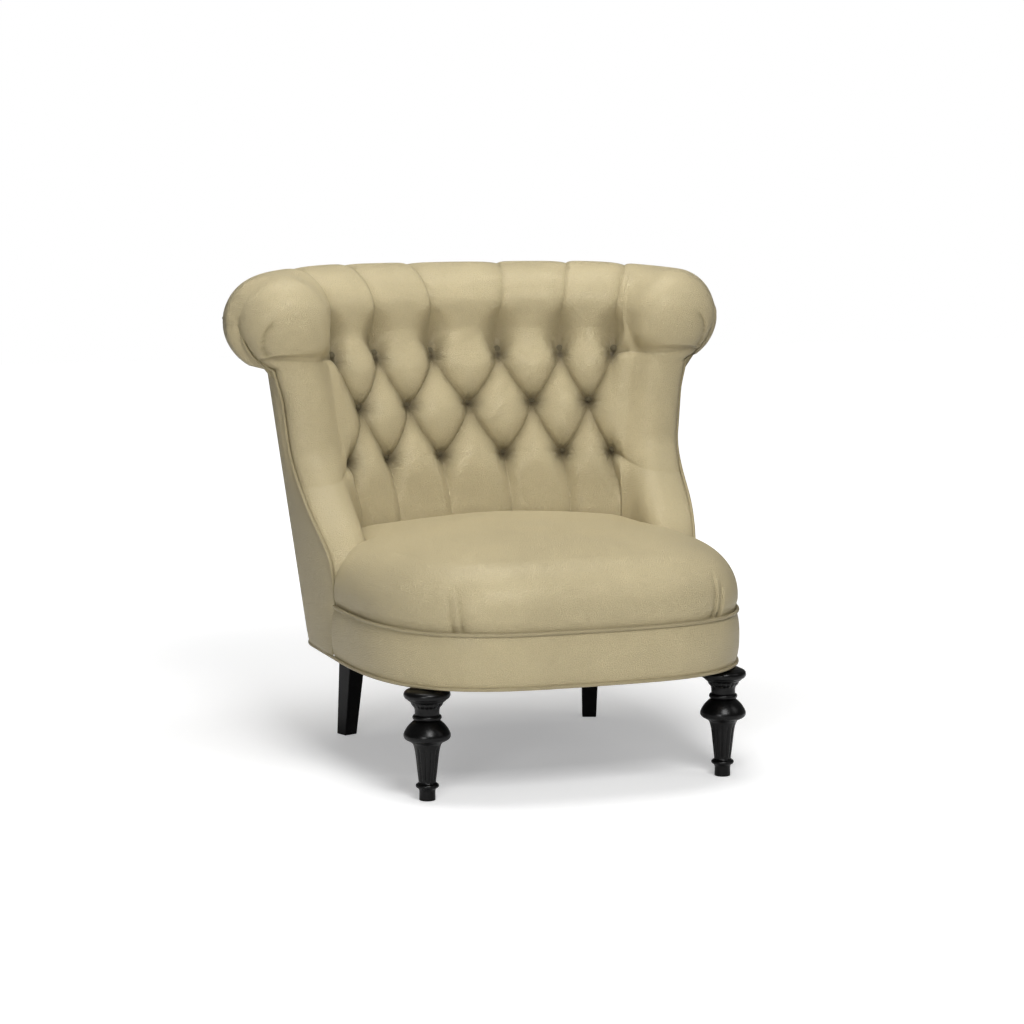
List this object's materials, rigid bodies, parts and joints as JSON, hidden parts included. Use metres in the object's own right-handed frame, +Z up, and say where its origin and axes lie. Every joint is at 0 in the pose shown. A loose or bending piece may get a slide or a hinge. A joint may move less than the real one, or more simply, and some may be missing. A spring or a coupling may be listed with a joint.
{
  "type": "tufted leather slipper chair",
  "caption": "Low armless lounge chair in tufted leather: curved back with a thick roll along its top, crowned seat, turned black front legs and square raked back legs.",
  "frame": {"origin": "on the floor, under the middle of the chair's footprint", "axes": "+Z up; the chair faces -Y; +X is to the viewer's right when facing the chair's front"},
  "size_m": [0.918, 0.812, 0.83],
  "materials": {
    "leather": "fine grained, semi-aniline, satin sheen, khaki",
    "ebonised_wood": "black stain under satin lacquer",
    "frame_wood": "planed, unfinished hardwood",
    "spring_steel": "drawn wire, dull",
    "jute": "coarse woven jute",
    "dust_cloth": "thin black lining cloth"
  },
  "bodies": {
    "root": {"back_burlap": "jute", "back_pad": "leather", "back_roll": "leather", "back_seat_rail": "frame_wood", "back_stile_left": "frame_wood", "back_stile_right": "frame_wood", "back_webbing_1": "jute", "back_webbing_2": "jute", "back_webbing_3": "jute", "back_webbing_4": "jute", "base_welt": "leather", "dust_cover": "dust_cloth", "front_band": "leather", "front_corner_block_left": "frame_wood", "front_corner_block_right": "frame_wood", "front_leg_bolt_left": "spring_steel", "front_leg_bolt_right": "spring_steel", "front_leg_left": "ebonised_wood", "front_leg_right": "ebonised_wood", "front_seat_rail": "frame_wood", "lower_back_rail": "frame_wood", "outside_back_panel": "leather", "outside_back_welt": "leather", "outside_wing_left": "leather", "outside_wing_right": "leather", "rear_corner_block_left": "frame_wood", "rear_corner_block_right": "frame_wood", "rear_leg_bolt_left": "spring_steel", "rear_leg_bolt_right": "spring_steel", "rear_leg_left": "ebonised_wood", "rear_leg_right": "ebonised_wood", "seat_cushion": "leather", "seat_deck": "jute", "seat_spring_1": "spring_steel", "seat_spring_2": "spring_steel", "seat_spring_3": "spring_steel", "seat_spring_4": "spring_steel", "seat_welt": "leather", "side_seat_rail_left": "frame_wood", "side_seat_rail_right": "frame_wood", "top_rail": "frame_wood", "tuft_button_01": "leather", "tuft_button_02": "leather", "tuft_button_03": "leather", "tuft_button_04": "leather", "tuft_button_05": "leather", "tuft_button_06": "leather", "tuft_button_07": "leather", "tuft_button_08": "leather", "tuft_button_09": "leather", "tuft_button_10": "leather", "tuft_button_11": "leather", "tuft_button_12": "leather", "tuft_button_13": "leather", "tuft_button_14": "leather", "tuft_button_15": "leather", "tuft_button_16": "leather", "tuft_button_17": "leather", "wing_post_left": "frame_wood", "wing_post_right": "frame_wood"}
  },
  "joints": []
}
